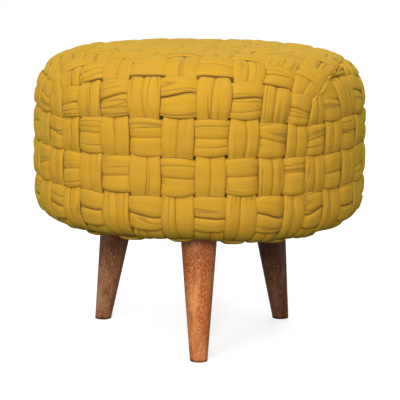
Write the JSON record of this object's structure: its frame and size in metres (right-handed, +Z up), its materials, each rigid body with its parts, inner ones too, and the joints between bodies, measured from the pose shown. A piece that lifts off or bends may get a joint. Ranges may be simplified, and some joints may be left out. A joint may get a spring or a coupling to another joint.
{
  "type": "footstool",
  "caption": "Round upholstered footstool with a basket-weave cover of thick padded bands, on tapered, splayed wooden legs.",
  "frame": {"origin": "on the floor, below the centre of the round cushion", "axes": "+Z up; -Y towards the front leg; +X to the right when facing the front leg"},
  "size_m": [0.4556, 0.4555, 0.4045],
  "materials": {
    "woven_cloth": "matte mustard cotton jersey",
    "board": "plain sanded plywood",
    "leg_wood": "stained mango wood with a thin satin lacquer"
  },
  "bodies": {
    "root": {"woven_cushion": "woven_cloth", "base_board": "board", "leg_front": "leg_wood", "leg_right": "leg_wood", "leg_left": "leg_wood"}
  },
  "joints": []
}
